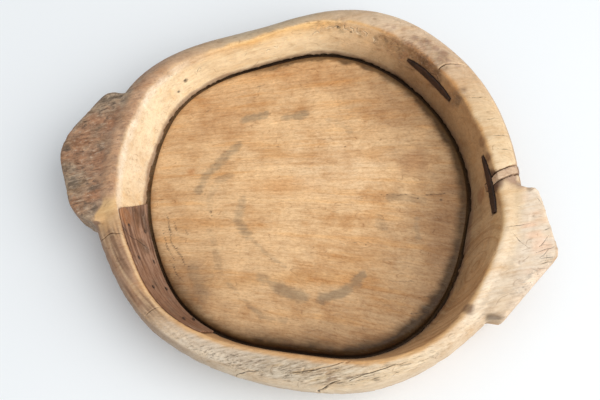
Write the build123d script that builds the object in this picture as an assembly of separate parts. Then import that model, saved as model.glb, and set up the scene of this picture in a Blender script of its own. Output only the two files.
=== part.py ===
from build123d import *
import os
from math import atan2, cos, degrees, hypot, radians, sin

# Carved wooden feed scoop: a shallow tub with two lug handles, millimetres, +Z up.
# X runs along the two lugs and the foot ring stands on Z = 0, with the origin under
# the middle of the whole. One block is hollowed into a wall ring with its lugs.
# A loose floor board is pegged into the foot of the ring from below.

# Heights above the table.
RIM_TOP = 78.0
RIM_EDGE = 75.0          # where the inner wall face starts under the worn rim arris
SHOULDER = 54.0          # widest place of the outside
FLOOR_TOP = 27.0
LIP_BOTTOM = 22.0        # underside of the wall lip that hangs over the board
TONGUE_TOP = 17.0
BOARD_BOTTOM = 10.0

# Radii of the hand-cut, uneven outlines about the hollow's own axis, one every 20
# degrees from +X. The finished parts are moved together so that the whole is centred.
INNER_EDGE = [216, 201, 198, 200, 202, 198, 184, 192, 211, 212, 216, 218, 226, 219, 215, 229, 234, 224]
OUTSIDE = [246, 239, 241, 243, 241, 221, 206, 218, 240, 246, 248, 246, 249, 246, 248, 256, 256, 256]
WALL_FOOT = [189, 187, 185, 186, 189, 186, 178, 184, 191, 188, 190, 195, 205, 204, 201, 213, 212, 198]
STATIONS = len(INNER_EDGE)

# Foot ring and floor board.
FOOT_INSET = 20.0        # how far the foot stands inside the shoulder
REBATE = 6.0             # depth of the rebate behind the wall lip
BOARD_CLEARANCE = 0.5
BOARD_BEVEL_LOW = 2.0    # gap between wall foot and board at the tongue
BOARD_BEVEL_MID = 3.5
BOARD_BEVEL_TOP = 8.0
BEVEL_MID_HEIGHT = 23.5

# Lug handles: plan corners (x, y) with corner radii, then their side profile.
RIGHT_LUG = [(200, 26), (254, 34), (286, -40), (238, -125), (222, -126), (180, -108)]
LEFT_LUG = [(-200, 44), (-256, 45), (-290, -37), (-244, -114), (-214, -122), (-180, -108)]
RIGHT_LUG_RADII = [2, 8, 10, 6, 4, 2]
LEFT_LUG_RADII = [2, 14, 55, 38, 4, 2]
LUG_ROOT = 205.0
LUG_TIP = 290.0
LUG_TOP_AT_ROOT = 76.5
LUG_TOP_AT_TIP = 71.0
LUG_BOTTOM_AT_TIP = 52.0
LUG_BOTTOM_AT_ROOT = 38.0

# Treenails that hold the floor board.
PEG_COUNT = 12
PEG_DIAMETER = 5.0
PEG_HEIGHT = 13.5
PEG_IN_BOARD = 14.0
PEG_FIRST_ANGLE = 15.0

# Forged iron cramps let into the inner wall: middle angle, height and bar length.
CRAMPS = {
    "iron_cramp_upper": (54.5, 56.5, 73.0),
    "iron_cramp_lower": (8.5, 63.0, 71.0),
}
CRAMP_WIDTH = 8.0
CRAMP_SUNK = 2.6
CRAMP_PROUD = 1.0
CRAMP_SEAT_CLEARANCE = 0.4
CRAMP_LEG_INSET = 6.5    # leg axis from the bar's end
CRAMP_LEG_LENGTH = 13.0
CRAMP_LEG_DIAMETER = 4.0
CRAMP_LEG_POINT = 2.2

# Thin board nailed over two splits on the inner wall.
PATCH_PLAN = [(-166, -38), (-207, -133), (-200, -230), (-72, -240), (-52, -160)]
PATCH_LOW = 23.5
PATCH_HIGH = 73.5
PATCH_SUNK = 1.4
PATCH_PROUD = 1.4

# Tacks through the patch.
TACK_ANGLES = [212.0, 223.0, 233.0, 246.0]
TACK_HEIGHTS = [34.0, 63.0]
TACK_HEAD_DIAMETER = 4.6
TACK_HEAD_DOME = 1.0
TACK_SHANK_DIAMETER = 1.6
TACK_SHANK_LENGTH = 11.0

# Filler slip let into the rim beside the right lug, along the grain of the block.
SLIP_START = (198.0, 27.0)
SLIP_END = (246.0, 68.0)
SLIP_WIDTH = 9.5
SLIP_LOW = 53.0

CUT_MARGIN = 5.0
SPAN = 700.0             # larger than the whole object, for half-space cutters


def ring_face(radii, z, grow=0.0):
    """Closed smooth outline through the stations, grown outward, as a face at height z."""
    points = []
    for i, radius in enumerate(radii):
        angle = radians(360.0 * i / STATIONS)
        points.append(((radius + grow) * cos(angle), (radius + grow) * sin(angle), z))
    return make_face(Spline(*points, periodic=True))


def mixed(first, second, share):
    """Outline a share of the way from the first outline to the second."""
    return [a + (b - a) * share for a, b in zip(first, second)]


def stack(sections):
    """Closed solid through a stack of faces, lowest first."""
    return loft(sections, ruled=True)


def radius_at(radii, angle):
    """Radius of an outline at an angle in degrees, straight between stations."""
    place = angle % 360.0 / 360.0 * STATIONS
    low = int(place) % STATIONS
    high = (low + 1) % STATIONS
    return radii[low] + (radii[high] - radii[low]) * (place - int(place))


def wall_radius(angle, z):
    """Radius of the inner wall face at an angle and height."""
    share = (z - LIP_BOTTOM) / (RIM_EDGE - LIP_BOTTOM)
    foot = radius_at(WALL_FOOT, angle)
    return foot + (radius_at(INNER_EDGE, angle) - foot) * share


def wall_core(grow=0.0):
    """What lies inside the inner wall face, grown into the wood."""
    return stack([
        ring_face(WALL_FOOT, LIP_BOTTOM, grow),
        ring_face(INNER_EDGE, RIM_EDGE, grow),
    ])


def outer_block():
    """The outside of the tub before hollowing, without its lugs."""
    return stack([
        ring_face(OUTSIDE, 0.0, -FOOT_INSET),
        ring_face(OUTSIDE, 0.4 * SHOULDER, -0.45 * FOOT_INSET),
        ring_face(OUTSIDE, 0.78 * SHOULDER, -0.08 * FOOT_INSET),
        ring_face(OUTSIDE, SHOULDER),
        ring_face(mixed(INNER_EDGE, OUTSIDE, 0.96), SHOULDER + 8.0),
        ring_face(mixed(INNER_EDGE, OUTSIDE, 0.84), SHOULDER + 15.5),
        ring_face(mixed(INNER_EDGE, OUTSIDE, 0.6), RIM_TOP - 3.0),
        ring_face(mixed(INNER_EDGE, OUTSIDE, 0.3), RIM_TOP),
    ])


def lug(corners, radii, side):
    """One lug handle: its plan outline, cut to a tapering side profile."""
    plan = make_face(FilletPolyline(*corners, radius=radii, close=True))
    prism = Pos(0, 0, LUG_BOTTOM_AT_ROOT) * extrude(plan, RIM_TOP - LUG_BOTTOM_AT_ROOT)
    profile = make_face(Polyline(
        (side * LUG_ROOT, LUG_TOP_AT_ROOT),
        (side * LUG_TIP, LUG_TOP_AT_TIP),
        (side * LUG_TIP, LUG_BOTTOM_AT_TIP),
        (side * (LUG_ROOT + 15.0), LUG_BOTTOM_AT_ROOT),
        (side * LUG_ROOT, LUG_BOTTOM_AT_ROOT),
        close=True,
    ))
    wedge = extrude(Plane.XZ * profile, SPAN / 2, both=True)
    return prism & wedge


def cavity():
    """The hollow of the tub with its worn rim arris, from the lip to above the rim."""
    bowl = stack([
        ring_face(WALL_FOOT, LIP_BOTTOM),
        ring_face(INNER_EDGE, RIM_EDGE),
        ring_face(INNER_EDGE, RIM_TOP, 2.5),
        ring_face(INNER_EDGE, RIM_TOP + CUT_MARGIN, 2.5 + CUT_MARGIN),
    ])
    rebate = stack([
        ring_face(WALL_FOOT, -CUT_MARGIN, REBATE),
        ring_face(WALL_FOOT, LIP_BOTTOM, REBATE),
    ])
    return bowl + rebate


def floor_board():
    """One wide board: tongue under the wall lip, edge worn down to the tongue."""
    tongue = REBATE - BOARD_CLEARANCE
    slab = stack([
        ring_face(WALL_FOOT, BOARD_BOTTOM, tongue),
        ring_face(WALL_FOOT, TONGUE_TOP, tongue),
    ])
    raised = stack([
        ring_face(WALL_FOOT, TONGUE_TOP, -BOARD_BEVEL_LOW),
        ring_face(WALL_FOOT, BEVEL_MID_HEIGHT, -BOARD_BEVEL_MID),
        ring_face(WALL_FOOT, FLOOR_TOP, -BOARD_BEVEL_TOP),
    ])
    return slab + raised


def wall_plane(angle, z, tangent_angle=None):
    """Plane on the inner wall face: its normal points into the wood, X runs level."""
    radius = wall_radius(angle, z)
    origin = (radius * cos(radians(angle)), radius * sin(radians(angle)), z)
    level = radians(angle - 90.0 if tangent_angle is None else tangent_angle)
    outward = (-sin(level), cos(level), 0.0)
    return Plane(origin=origin, x_dir=(cos(level), sin(level), 0.0), z_dir=outward)


def wall_direction(angle, z):
    """Level direction of the wall face at an angle, in degrees."""
    step = 8.0
    first = radians(angle + step)
    last = radians(angle - step)
    r_first = wall_radius(angle + step, z)
    r_last = wall_radius(angle - step, z)
    dx = r_last * cos(last) - r_first * cos(first)
    dy = r_last * sin(last) - r_first * sin(first)
    return degrees(atan2(dy, dx))


def spindle(length, width):
    """Outline of a forged bar, drawn out narrower towards both ends."""
    half = length / 2
    wide = width / 2
    return make_face(Polyline(
        (-half, -0.15 * width),
        (-0.8 * half, -0.72 * wide),
        (-0.3 * half, -wide),
        (0.6 * half, -wide),
        (half, -0.55 * wide),
        (half, 0.55 * wide),
        (0.6 * half, wide),
        (-0.3 * half, wide),
        (-0.8 * half, 0.72 * wide),
        (-half, 0.15 * width),
        close=True,
    ))


def cramp_parts(angle, z, length):
    """A cramp and the seat that is chiselled for it."""
    plane = wall_plane(angle, z, wall_direction(angle, z))
    reach = 14.0
    skin = wall_core(CRAMP_SUNK) - wall_core(-CRAMP_PROUD)
    seat_skin = wall_core(CRAMP_SUNK) - wall_core(-CUT_MARGIN)
    bar_plan = extrude(plane * spindle(length, CRAMP_WIDTH), reach, both=True)
    seat_plan = extrude(
        plane * spindle(length + 2 * CRAMP_SEAT_CLEARANCE, CRAMP_WIDTH + 2 * CRAMP_SEAT_CLEARANCE),
        reach,
        both=True,
    )
    legs = []
    for side in (-1, 1):
        along = side * (length / 2 - CRAMP_LEG_INSET)
        leg = Cone(
            CRAMP_LEG_DIAMETER / 2,
            CRAMP_LEG_POINT / 2,
            CRAMP_LEG_LENGTH,
            align=(Align.CENTER, Align.CENTER, Align.MIN),
        )
        legs.append(plane * Pos(along, 0, 0) * leg)
    legs = legs[0] + legs[1]
    return (skin & bar_plan) + (legs - wall_core(-CRAMP_PROUD)), (seat_skin & seat_plan) + legs


def patch_between(sunk, proud):
    """Layer along the inner wall inside the patch's outline."""
    layer = wall_core(sunk) - wall_core(-proud)
    plan = make_face(Polyline(*PATCH_PLAN, close=True))
    return layer & (Pos(0, 0, PATCH_LOW) * extrude(plan, PATCH_HIGH - PATCH_LOW))


def tack(angle, z):
    """A small nail with a domed head, its point in the wall."""
    plane = wall_plane(angle, z, wall_direction(angle, z))
    head_back = -PATCH_PROUD
    shank = Cylinder(
        TACK_SHANK_DIAMETER / 2,
        TACK_SHANK_LENGTH,
        align=(Align.CENTER, Align.CENTER, Align.MIN),
    )
    head = Cone(
        TACK_HEAD_DIAMETER / 4,
        TACK_HEAD_DIAMETER / 2,
        TACK_HEAD_DOME + 0.5,
        align=(Align.CENTER, Align.CENTER, Align.MIN),
    )
    return plane * Pos(0, 0, head_back - TACK_HEAD_DOME) * (head + shank)


def peg(angle, block):
    """A treenail from the outside of the foot into the edge of the board."""
    start = radius_at(WALL_FOOT, angle) - PEG_IN_BOARD
    rod = Cylinder(PEG_DIAMETER / 2, SPAN / 2, align=(Align.CENTER, Align.CENTER, Align.MIN))
    rod = Rot(0, 0, angle) * Pos(start, 0, PEG_HEIGHT) * Rot(0, 90, 0) * rod
    return rod & block


def slip_slot():
    """Straight slot across the rim for the filler slip."""
    dx = SLIP_END[0] - SLIP_START[0]
    dy = SLIP_END[1] - SLIP_START[1]
    height = RIM_TOP + CUT_MARGIN - SLIP_LOW
    slab = Box(hypot(dx, dy), SLIP_WIDTH, height, align=(Align.CENTER, Align.CENTER, Align.MIN))
    middle = Pos((SLIP_START[0] + SLIP_END[0]) / 2, (SLIP_START[1] + SLIP_END[1]) / 2, SLIP_LOW)
    return middle * Rot(0, 0, degrees(atan2(dy, dx))) * slab


def build():
    """All sub-parts by name, with the middle of the whole over the origin."""
    parts = {}
    block = outer_block()
    body = block + lug(RIGHT_LUG, RIGHT_LUG_RADII, 1) + lug(LEFT_LUG, LEFT_LUG_RADII, -1)
    body -= cavity()
    board = floor_board()

    for number in range(PEG_COUNT):
        nail = peg(PEG_FIRST_ANGLE + 360.0 * number / PEG_COUNT, block)
        body -= nail
        board -= nail
        parts[f"floor_peg_{number + 1:02d}"] = nail

    for name, (angle, z, length) in CRAMPS.items():
        cramp, seat = cramp_parts(angle, z, length)
        body -= seat
        parts[name] = cramp

    slot = slip_slot()
    parts["rim_filler_slip"] = body & slot
    body -= slot

    patch = patch_between(PATCH_SUNK, PATCH_PROUD)
    body -= patch
    number = 1
    for angle in TACK_ANGLES:
        for z in TACK_HEIGHTS:
            nail = tack(angle, z)
            patch -= nail
            body -= nail
            parts[f"patch_tack_{number}"] = nail
            number += 1

    parts["wall_patch"] = patch
    parts["floor_board"] = board
    parts["body"] = body
    middle = body.bounding_box().center()
    centred = Pos(-middle.X, -middle.Y, 0)
    return {name: centred * solid for name, solid in parts.items()}


os.makedirs("parts", exist_ok=True)
for part_name, solid in build().items():
    export_step(solid, f"parts/{part_name}.step")
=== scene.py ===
import functools
import itertools
import math

import bmesh
import bpy
import numpy as np
from mathutils.bvhtree import BVHTree
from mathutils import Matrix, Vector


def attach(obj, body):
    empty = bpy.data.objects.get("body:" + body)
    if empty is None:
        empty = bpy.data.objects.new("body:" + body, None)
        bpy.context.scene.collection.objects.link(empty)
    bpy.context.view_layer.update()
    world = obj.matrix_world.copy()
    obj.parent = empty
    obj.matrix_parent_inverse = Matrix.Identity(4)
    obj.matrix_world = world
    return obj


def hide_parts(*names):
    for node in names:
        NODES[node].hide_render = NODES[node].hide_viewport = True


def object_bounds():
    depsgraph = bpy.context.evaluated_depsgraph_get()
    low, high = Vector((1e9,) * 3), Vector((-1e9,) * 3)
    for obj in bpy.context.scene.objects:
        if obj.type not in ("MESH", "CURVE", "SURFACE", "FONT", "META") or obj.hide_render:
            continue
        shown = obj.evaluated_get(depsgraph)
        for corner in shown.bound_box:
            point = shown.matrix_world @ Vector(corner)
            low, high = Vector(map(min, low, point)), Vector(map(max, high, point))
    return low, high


# A shallow feed scoop, hewn from one block of pale hardwood, worn and mended.
# Shapes are worked out in millimetres about the hollow's own axis, and written back in metres.

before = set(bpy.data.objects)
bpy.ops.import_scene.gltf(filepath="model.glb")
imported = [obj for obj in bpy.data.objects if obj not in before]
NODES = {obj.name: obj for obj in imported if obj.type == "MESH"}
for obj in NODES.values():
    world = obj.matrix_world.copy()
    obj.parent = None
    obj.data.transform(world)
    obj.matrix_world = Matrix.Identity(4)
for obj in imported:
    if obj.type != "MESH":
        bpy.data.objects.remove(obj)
CAD_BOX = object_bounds()

MM = 0.001
HOLLOW_AXIS = np.array((-0.6, 4.3, 0))     # where the hollow's axis stands in the shared frame, mm
GRAIN_ANGLE = 27                           # the block's grain, degrees from +X
FLOOR_GRAIN_ANGLE = 13

CAMERA_TARGET = np.array((-0.0095, -0.0056, 0))
CAMERA_DISTANCE = 1
CAMERA_AZIMUTH = math.radians(13.3)
CAMERA_ELEVATION = math.radians(65)
CAMERA_LENS = 50


# ---------------------------------------------------------------- small tools

def srgb(red, green, blue):
    """Linear colour of an 8-bit sRGB one."""
    value = np.array((red, green, blue), float) / 255
    return np.where(value <= 0.04045, value / 12.92, ((value + 0.055) / 1.055) ** 2.4)


def unit(value):
    """The value, kept between 0 and 1."""
    return np.clip(value, 0, 1)


def ramp(value, low, high):
    """0 below low, 1 above high, and smooth between."""
    part = unit((value - low) / (high - low))
    return part * part * (3 - 2 * part)


def most(*values):
    """The largest of the values at each point."""
    return functools.reduce(np.maximum, values)


def angle_of(points):
    """Degrees round the hollow's axis, from 0 to 360."""
    return np.degrees(np.arctan2(points[:, 1], points[:, 0])) % 360


def reach_of(points):
    """Distance from the hollow's axis."""
    return np.hypot(points[:, 0], points[:, 1])


def noise(points, stretch, seed):
    """Smooth noise from -1 to 1, with its cells a stretch's inverse wide along each axis."""
    place = points * np.asarray(stretch, float) + 31.7 * seed
    cell = np.floor(place).astype(np.int64)
    part = place - cell
    part = part * part * (3 - 2 * part)
    total = np.zeros(len(points))
    for corner in itertools.product((0, 1), repeat=3):
        index = cell + corner
        mixed = index[:, 0] * 73856093 ^ index[:, 1] * 19349663 ^ index[:, 2] * 83492791
        mixed = (mixed ^ (mixed >> 13)) * 1274126177
        mixed = mixed ^ (mixed >> 16)
        value = (mixed & 0xFFFFF) / 0x7FFFF - 1
        total += value * np.prod(np.where(corner, part, 1 - part), axis=1)
    return total


def layered(points, stretch, seed, layers=3):
    """Noise with finer and weaker noise on it."""
    stretch = np.asarray(stretch, float)
    total = sum(0.5 ** n * noise(points, stretch * 2 ** n, seed + n) for n in range(layers))
    return total / (2 - 0.5 ** (layers - 1))


def turned(points, angle):
    """The points seen along a level direction: first along it, then across it, then up."""
    c, s = math.cos(math.radians(angle)), math.sin(math.radians(angle))
    along = points[:, 0] * c + points[:, 1] * s
    across = points[:, 1] * c - points[:, 0] * s
    return np.stack((along, across, points[:, 2]), axis=1)


def by_angle(theta, stops):
    """Values at angles round the axis, straight between the stops."""
    angles = [stop[0] for stop in stops]
    values = np.array([stop[1] for stop in stops], float)
    if values.ndim == 1:
        return np.interp(theta, angles, values, period=360)
    return np.stack([np.interp(theta, angles, values[:, i], period=360) for i in range(3)], axis=1)


def colours_by_angle(theta, stops):
    """Linear colours at angles round the axis. A stop is an angle and an 8-bit sRGB colour."""
    return by_angle(theta, [(angle, srgb(*colour)) for angle, *colour in stops])


def blend(first, second, share):
    """Colours mixed by a share for each point."""
    return first + (second - first) * share[:, None]


def painted(tint, layers):
    """A tint under layers of colour. A layer is an 8-bit sRGB colour and its share at each point."""
    for colour, share in layers:
        tint = blend(tint, srgb(*colour), share)
    return tint


def line_distance(points, line):
    """Distance in plan from a broken line, and how far along it the nearest place is, 0 to 1."""
    line = np.array(line, float)
    lengths = np.hypot(*(line[1:] - line[:-1]).T)
    starts = np.concatenate(((0,), np.cumsum(lengths)))
    best = np.full(len(points), 1e9)
    along = np.zeros(len(points))
    for first, last, start, length in zip(line[:-1], line[1:], starts, lengths):
        way = (last - first) / length
        offset = points[:, :2] - first
        share = np.clip(offset @ way, 0, length)
        gap = np.hypot(*(offset - share[:, None] * way).T)
        nearer = gap < best
        best = np.where(nearer, gap, best)
        along = np.where(nearer, (start + share) / starts[-1], along)
    return best, along


class Surface:
    """A piece's mesh as arrays, in millimetres about the hollow's axis."""

    def __init__(self, piece):
        self.piece = piece
        self.read()

    def read(self):
        mesh = self.piece.data
        co = np.empty(len(mesh.vertices) * 3)
        mesh.vertices.foreach_get("co", co)
        self.co = co.reshape(-1, 3) / MM - HOLLOW_AXIS
        edges = np.empty(len(mesh.edges) * 2, np.int64)
        mesh.edges.foreach_get("vertices", edges)
        self.edges = edges.reshape(-1, 2)
        self.read_normals()

    def read_normals(self):
        normals = np.empty(len(self.co) * 3)
        self.piece.data.vertex_normals.foreach_get("vector", normals)
        self.normals = normals.reshape(-1, 3)

    def write(self):
        mesh = self.piece.data
        mesh.vertices.foreach_set("co", ((self.co + HOLLOW_AXIS) * MM).ravel())
        mesh.update()
        self.read_normals()

    def push(self, amount):
        """Moves each point out along its normal."""
        self.co += self.normals * np.asarray(amount)[:, None]
        self.write()

    def around(self, values):
        """Mean of the values at each point's neighbours."""
        first, last = self.edges.T
        size = len(self.co)
        count = np.maximum(np.bincount(self.edges.ravel(), minlength=size), 1)
        if values.ndim == 1:
            return (np.bincount(first, values[last], size) + np.bincount(last, values[first], size)) / count
        return np.stack([self.around(column) for column in values.T], axis=1)

    def smooth(self, rounds):
        """Evens out the surface without shrinking it."""
        for step in (0.55, -0.53) * rounds:
            self.co += step * (self.around(self.co) - self.co)
        self.write()

    def wear(self, rounds, share):
        """Rounds edges off, as handling does; share says how much at each point."""
        for _ in range(rounds):
            self.co += 0.5 * share[:, None] * (self.around(self.co) - self.co)
        self.write()

    def convexity(self, rounds):
        """How much the surface stands out at each point, in mm; below 0 in hollows."""
        bend = np.einsum("ij,ij->i", self.co - self.around(self.co), self.normals)
        for _ in range(rounds):
            bend = 0.5 * (bend + self.around(bend))
        return bend

    def closeness(self, nodes, near, reach):
        """1 against the CAD nodes and 0 beyond the reach in mm, for points where near is true."""
        trees = [tree_of(node) for node in nodes]
        close = np.zeros(len(self.co))
        for index in np.flatnonzero(near(self.co)):
            place = (self.co[index] + HOLLOW_AXIS) * MM
            distance = min(tree.find_nearest(place)[3] for tree in trees) / MM
            close[index] = max(1 - distance / reach, 0)
        return close

    def refine(self, near):
        """Halves the edges where near, a function of the points, is true."""
        inside = near(self.co)
        work = bmesh.new()
        work.from_mesh(self.piece.data)
        work.verts.ensure_lookup_table()
        edges = [e for e in work.edges if inside[e.verts[0].index] and inside[e.verts[1].index]]
        bmesh.ops.subdivide_edges(work, edges=edges, cuts=1, use_grid_fill=True)
        work.to_mesh(self.piece.data)
        work.free()
        self.read()

    def snap(self, tree, near):
        """Puts the points where near is true back on the surface in the tree."""
        for index in np.flatnonzero(near(self.co)):
            found = tree.find_nearest((self.co[index] + HOLLOW_AXIS) * MM)
            self.co[index] = np.array(found[0]) / MM - HOLLOW_AXIS
        self.write()

    def all_over(self, *colour):
        """The linear colour of an 8-bit sRGB one, for each point."""
        return np.tile(srgb(*colour), (len(self.co), 1))

    def paint(self, tint, **layers):
        """Stores a linear colour and numbers for each point. A lone number goes to every point."""
        layer = self.piece.data.attributes.new("tint", "FLOAT_COLOR", "POINT")
        full = np.concatenate((tint, np.ones((len(tint), 1))), axis=1)
        layer.data.foreach_set("color", full.astype(np.float32).ravel())
        for name, values in layers.items():
            layer = self.piece.data.attributes.new(name, "FLOAT", "POINT")
            layer.data.foreach_set("value", np.broadcast_to(values, len(self.co)).astype(np.float32))

    def paint_place(self, name, values):
        """Stores a position for each point, which a material reads instead of the real one."""
        layer = self.piece.data.attributes.new(name, "FLOAT_VECTOR", "POINT")
        layer.data.foreach_set("vector", values.astype(np.float32).ravel())


def tree_of(node):
    """Search tree over a CAD node's surface."""
    return BVHTree.FromObject(NODES[node], bpy.context.evaluated_depsgraph_get())


def remeshed(name, node, voxel):
    """A new piece with an even, closed mesh of a CAD node's shape. The voxel is in mm."""
    source = NODES[node].data.copy()
    work = bmesh.new()
    work.from_mesh(source)
    bmesh.ops.remove_doubles(work, verts=work.verts, dist=0.002 * MM)
    work.to_mesh(source)
    work.free()
    piece = bpy.data.objects.new(name, source)
    bpy.context.scene.collection.objects.link(piece)
    modifier = piece.modifiers.new("Even", "REMESH")
    modifier.mode = "VOXEL"
    modifier.voxel_size = voxel * MM
    graph = bpy.context.evaluated_depsgraph_get()
    even = bpy.data.meshes.new_from_object(piece.evaluated_get(graph))
    piece.modifiers.clear()
    piece.data = even
    even.name = name
    even.materials.clear()
    even.attributes.active_color_index = -1
    even.shade_smooth()
    bpy.data.meshes.remove(source)
    return Surface(piece)


def hand_over(surface, material, slot, *nodes):
    """Finishes a piece: its material, its body and the CAD nodes it stands for. The slot is not used."""
    piece = surface.piece
    piece.data.materials.append(material)
    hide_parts(*nodes)
    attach(piece, "root")


# ---------------------------------------------------------------- tool marks and damage

POINT_SPACING = 2.4                        # about the distance between neighbours on the block, mm


def cuts(surface, where, spacing, depth, tilt, seed):
    """Shallow scooped facets left by an adze or gouge, as an offset for each point."""
    rng = np.random.default_rng(seed)
    spots = np.flatnonzero(where > 0.3)
    points = surface.co
    area = len(spots) * POINT_SPACING ** 2
    count = max(int(area / spacing ** 2), 1)
    seeds = points[rng.choice(spots, count, replace=False)]
    lean = rng.normal(0, tilt, (count, 3))
    level = rng.uniform(-0.5, 0.5, count)
    offset = np.zeros(len(points))
    for chunk in np.array_split(spots, max(len(spots) // 4000, 1)):
        gap = points[chunk, None, :] - seeds[None, :, :]
        distance = np.einsum("ijk,ijk->ij", gap, gap)
        nearest = distance.argmin(axis=1)
        step = gap[np.arange(len(chunk)), nearest]
        hollow = np.sqrt(distance[np.arange(len(chunk)), nearest]) / spacing
        offset[chunk] = depth * (hollow - 0.7 + 0.5 * level[nearest]) + np.sum(step * lean[nearest], axis=1)
    return np.minimum(offset, 0.3 * depth) * where


def crack(points, line, width, wander, seed, taper=0.25):
    """How deep in a V crack each point is, 0 to 1. The line is in plan; width in mm."""
    moved = points.copy()
    moved[:, 0] += wander * noise(points, 0.11, seed)
    moved[:, 1] += wander * noise(points, 0.13, seed + 5)
    distance, along = line_distance(moved, line)
    ends = np.minimum(ramp(along, -0.02, taper), ramp(1 - along, -0.02, taper))
    half = 0.5 * width * (0.35 + 0.65 * ends)
    return unit(1 - distance / half)


def dents(points, spots):
    """Deepest dent at each point, in mm. A spot is (x, y, half length, half width, angle, depth)."""
    deepest = np.zeros(len(points))
    for x, y, length, width, angle, depth in spots:
        near = (np.abs(points[:, 0] - x) < length + width) & (np.abs(points[:, 1] - y) < length + width)
        local = turned(points[near] - (x, y, 0), angle)
        inside = unit(1 - (local[:, 0] / length) ** 2 - (local[:, 1] / width) ** 2)
        deepest[near] = np.maximum(deepest[near], depth * inside)
    return deepest


# ---------------------------------------------------------------- materials

class Nodes:
    """Short calls that build a material's node tree."""

    def __init__(self, name):
        self.material = bpy.data.materials.new(name)
        self.material.use_nodes = True
        self.tree = self.material.node_tree
        self.tree.nodes.clear()
        self.shader = self.add("BsdfPrincipled")
        output = self.add("OutputMaterial")
        self.tree.links.new(self.shader.outputs[0], output.inputs["Surface"])

    def add(self, kind, settings=None, inputs=None):
        made = self.tree.nodes.new("ShaderNode" + kind)
        for key, value in (settings or {}).items():
            setattr(made, key, value)
        for key, value in (inputs or {}).items():
            self.set(made.inputs[key], value)
        return made

    def set(self, socket, value):
        if isinstance(value, bpy.types.NodeSocket):
            self.tree.links.new(value, socket)
        elif isinstance(value, (tuple, list, np.ndarray)) and socket.type == "RGBA":
            socket.default_value = (*value[:3], 1)
        else:
            socket.default_value = value

    def math(self, operation, first, second=0):
        return self.add("Math", {"operation": operation}, {0: first, 1: second}).outputs[0]

    def remap(self, value, low, high, to_low=0, to_high=1, smooth=False):
        kind = "SMOOTHSTEP" if smooth else "LINEAR"
        made = self.add("MapRange", {"interpolation_type": kind, "clamp": True}, {
            "Value": value, "From Min": low, "From Max": high, "To Min": to_low, "To Max": to_high,
        })
        return made.outputs[0]

    def mix(self, share, first, second, blending="MIX"):
        made = self.add("Mix", {"data_type": "RGBA", "blend_type": blending})
        self.set(made.inputs[0], share)
        self.set(made.inputs[6], first)
        self.set(made.inputs[7], second)
        return made.outputs[2]

    def scaled(self, vector, stretch, shift=(0, 0, 0)):
        made = self.add("VectorMath", {"operation": "MULTIPLY_ADD"}, {0: vector})
        made.inputs[1].default_value = stretch
        made.inputs[2].default_value = shift
        return made.outputs[0]

    def noise(self, vector, stretch, detail=3, roughness=0.6, shift=0):
        place = self.scaled(vector, tuple(np.broadcast_to(stretch, 3)), (shift, shift, shift))
        made = self.add("TexNoise", None, {
            "Vector": place, "Scale": 1, "Detail": detail, "Roughness": roughness,
        })
        return made.outputs["Fac"]

    def tone(self, colour, value, spread, amount, darker, lighter):
        """Multiplies a colour darker where the value is high and lighter where it is low."""
        colour = self.mix(self.remap(value, 0.5, 0.5 + spread, 0, amount), colour, darker, "MULTIPLY")
        return self.mix(self.remap(value, 0.5, 0.5 - spread, 0, amount), colour, lighter, "MULTIPLY")

    def flecked(self, colour, share, flecks):
        """Mixes shades in, each where a value goes from low to high. A row ends with strength and shade."""
        for value, low, high, strength, shade in flecks:
            colour = self.mix(self.product(self.remap(value, low, high), share, strength), colour, shade)
        return colour

    def swayed(self, value, noise, amount):
        """The value, moved up and down by a noise about its middle."""
        return self.math("ADD", value, self.product(self.math("SUBTRACT", noise, 0.5), amount))

    def attribute(self, name, colour=False):
        made = self.add("Attribute", {"attribute_name": name})
        return made.outputs["Color" if colour else "Fac"]

    def place(self, name=None):
        """Where the point is, or where a painted position says it is."""
        if name:
            return self.add("Attribute", {"attribute_name": name}).outputs["Vector"]
        return self.add("TexCoord").outputs["Object"]

    def product(self, first, *others):
        for other in others:
            first = self.math("MULTIPLY", first, other)
        return first

    def bump(self, height, strength, distance):
        made = self.add("Bump", None, {"Strength": strength, "Distance": distance, "Height": height})
        self.set(self.shader.inputs["Normal"], made.outputs[0])


def grain_space(nodes, place, angle, bend, fan, wave):
    """Coordinates along and across the grain, in metres, with its bend, its spread and its waves."""
    turn = nodes.add("Mapping", {"vector_type": "POINT"}, {"Vector": place})
    turn.inputs["Rotation"].default_value = (0, 0, -math.radians(angle))
    along, across, up = nodes.add("SeparateXYZ", None, {0: turn.outputs[0]}).outputs
    drift = nodes.noise(turn.outputs[0], (7, 16, 16), 2)
    across = nodes.product(across, nodes.math("SUBTRACT", 1, nodes.product(along, fan)))
    across = nodes.math("ADD", nodes.swayed(across, drift, wave), nodes.product(along, along, bend))
    return nodes.add("CombineXYZ", None, {0: along, 1: across, 2: up}).outputs[0]


def hair_lines(nodes, place, stretch, width, shift):
    """Short curved scratches: pieces of a noise's level lines."""
    level = nodes.noise(place, stretch, 1, shift=shift)
    line = nodes.remap(nodes.math("ABSOLUTE", nodes.math("SUBTRACT", level, 0.5)), width, 0)
    return nodes.product(line, nodes.remap(nodes.noise(place, 85, 1, shift=shift + 3), 0.54, 0.6))


def growth_rings(nodes, grain, pith, width):
    """Uneven rings about the pith, which runs along the grain."""
    centre = nodes.scaled(grain, (0, 1, 1), (0, -pith[0], -pith[1]))
    radius = nodes.add("VectorMath", {"operation": "LENGTH"}, {0: centre}).outputs["Value"]
    along = nodes.add("SeparateXYZ", None, {0: grain}).outputs[0]
    spacing = nodes.math("DIVIDE", radius, width)
    place = nodes.add("CombineXYZ", None, {0: nodes.product(along, 3), 1: spacing})
    return nodes.noise(place.outputs[0], 1, 2)


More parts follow.
